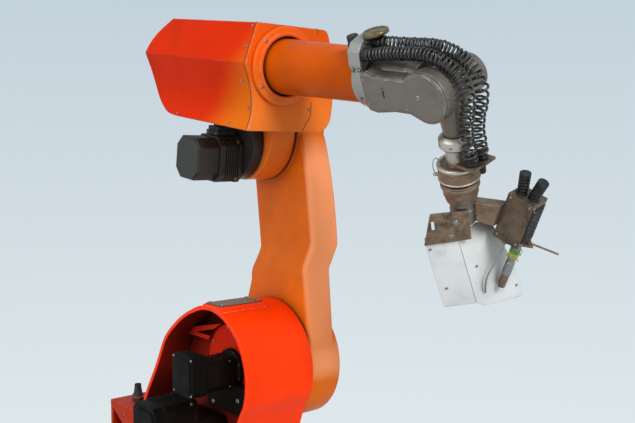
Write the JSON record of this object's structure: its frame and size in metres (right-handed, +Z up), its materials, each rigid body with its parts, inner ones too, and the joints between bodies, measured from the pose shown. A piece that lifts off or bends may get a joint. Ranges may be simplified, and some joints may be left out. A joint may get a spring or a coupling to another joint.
{
  "type": "industrial robot arm",
  "caption": "Floor-mounted jointed robot arm with an arched turning column, a link arm, a turning forearm, a bent wrist with curly hoses and a welding tool.",
  "frame": {"origin": "on the floor under the turning axis of the column, at the underside of the foot plate", "axes": "+Z up, +X the way the arm reaches at rest, +Y towards the side that carries the link arm"},
  "size_m": [1.5187, 0.6785, 1.7232],
  "materials": {
    "column_red": "satin red-orange paint",
    "arm_orange": "satin orange paint",
    "link_orange": "satin orange paint",
    "cover_red": "satin red-orange paint",
    "motor_grey": "satin dark grey",
    "black_rubber": "matte",
    "cast_aluminium": "satin cast and machined",
    "clamp_grey": "satin",
    "steel": "brushed",
    "brass": "dull",
    "scorched_steel": "heat-browned",
    "pale_plate": "pale sheet"
  },
  "bodies": {
    "base": {"base_plate": "column_red", "base_casting": "column_red", "base_connector_box": "column_red"},
    "column": {"turntable": "column_red", "column_shell": "column_red", "column_top_plate": "steel", "column_rib": "column_red", "column_motor_seat": "motor_grey", "column_motor": "motor_grey", "shoulder_gear_disc": "column_red", "shoulder_motor_ring": "motor_grey", "shoulder_motor": "motor_grey", "rear_box": "column_red", "rear_gland": "black_rubber"},
    "link": {"link_arm": "link_orange", "link_hub_cap": "link_orange", "link_head_cap": "link_orange"},
    "elbow": {"elbow_casting": "arm_orange", "rear_cover": "cover_red", "wrist_axis_ring": "arm_orange", "elbow_motor_flange": "motor_grey", "elbow_motor": "motor_grey", "elbow_motor_end": "motor_grey", "elbow_motor_plug": "black_rubber"},
    "forearm": {"forearm_tube": "arm_orange", "tube_gland": "black_rubber", "wrist_collar": "clamp_grey", "collar_cap": "brass", "wrist_housing": "cast_aluminium", "wrist_side_plate": "cast_aluminium", "coil_hose_upper": "black_rubber", "coil_hose_lower": "black_rubber"},
    "hand": {"hand_body": "cast_aluminium", "hand_flange": "cast_aluminium", "swivel_cup": "scorched_steel", "hose_bracket": "scorched_steel"},
    "tool": {"tool_body": "scorched_steel", "tool_sleeve": "cast_aluminium", "tool_bracket": "scorched_steel", "shield_left": "pale_plate", "shield_right": "pale_plate", "torch_arm": "scorched_steel", "torch_box": "scorched_steel", "torch_box_side": "black_rubber", "torch_box_foot": "scorched_steel", "torch_body": "steel", "torch_nozzle": "scorched_steel", "wire_guide": "steel", "torch_plug_left": "black_rubber", "torch_plug_right": "black_rubber"}
  },
  "joints": [
    {"name": "axis_1_turn", "type": "hinge", "parent": "base", "child": "column", "pos_m": [0, 0, 0.34], "axis": [0, 0, 1], "range_deg": [-155, 155]},
    {"name": "axis_2_shoulder", "type": "hinge", "parent": "column", "child": "link", "pos_m": [0.2, 0, 0.7], "axis": [0, 1, 0], "range_deg": [-45, 80]},
    {"name": "axis_3_elbow", "type": "hinge", "parent": "link", "child": "elbow", "pos_m": [0.11, 0, 1.4], "axis": [0, -1, 0], "range_deg": [-30, 110]},
    {"name": "axis_4_forearm_roll", "type": "hinge", "parent": "elbow", "child": "forearm", "pos_m": [1.01914, 0, 1.47753], "axis": [0.9903, 0, -0.1392], "range_deg": [-165, 165]},
    {"name": "axis_5_wrist_bend", "type": "hinge", "parent": "forearm", "child": "hand", "pos_m": [1.01914, 0, 1.47753], "axis": [-0.061, -0.8988, -0.4341], "range_deg": [-18, 212], "deforming": ["coil_hose_upper", "coil_hose_lower"]},
    {"name": "axis_6_tool_turn", "type": "hinge", "parent": "hand", "child": "tool", "pos_m": [0.96135, 0.10268, 1.27304], "axis": [-0.2448, 0.4351, -0.8665], "range_deg": [-175, 175]}
  ]
}
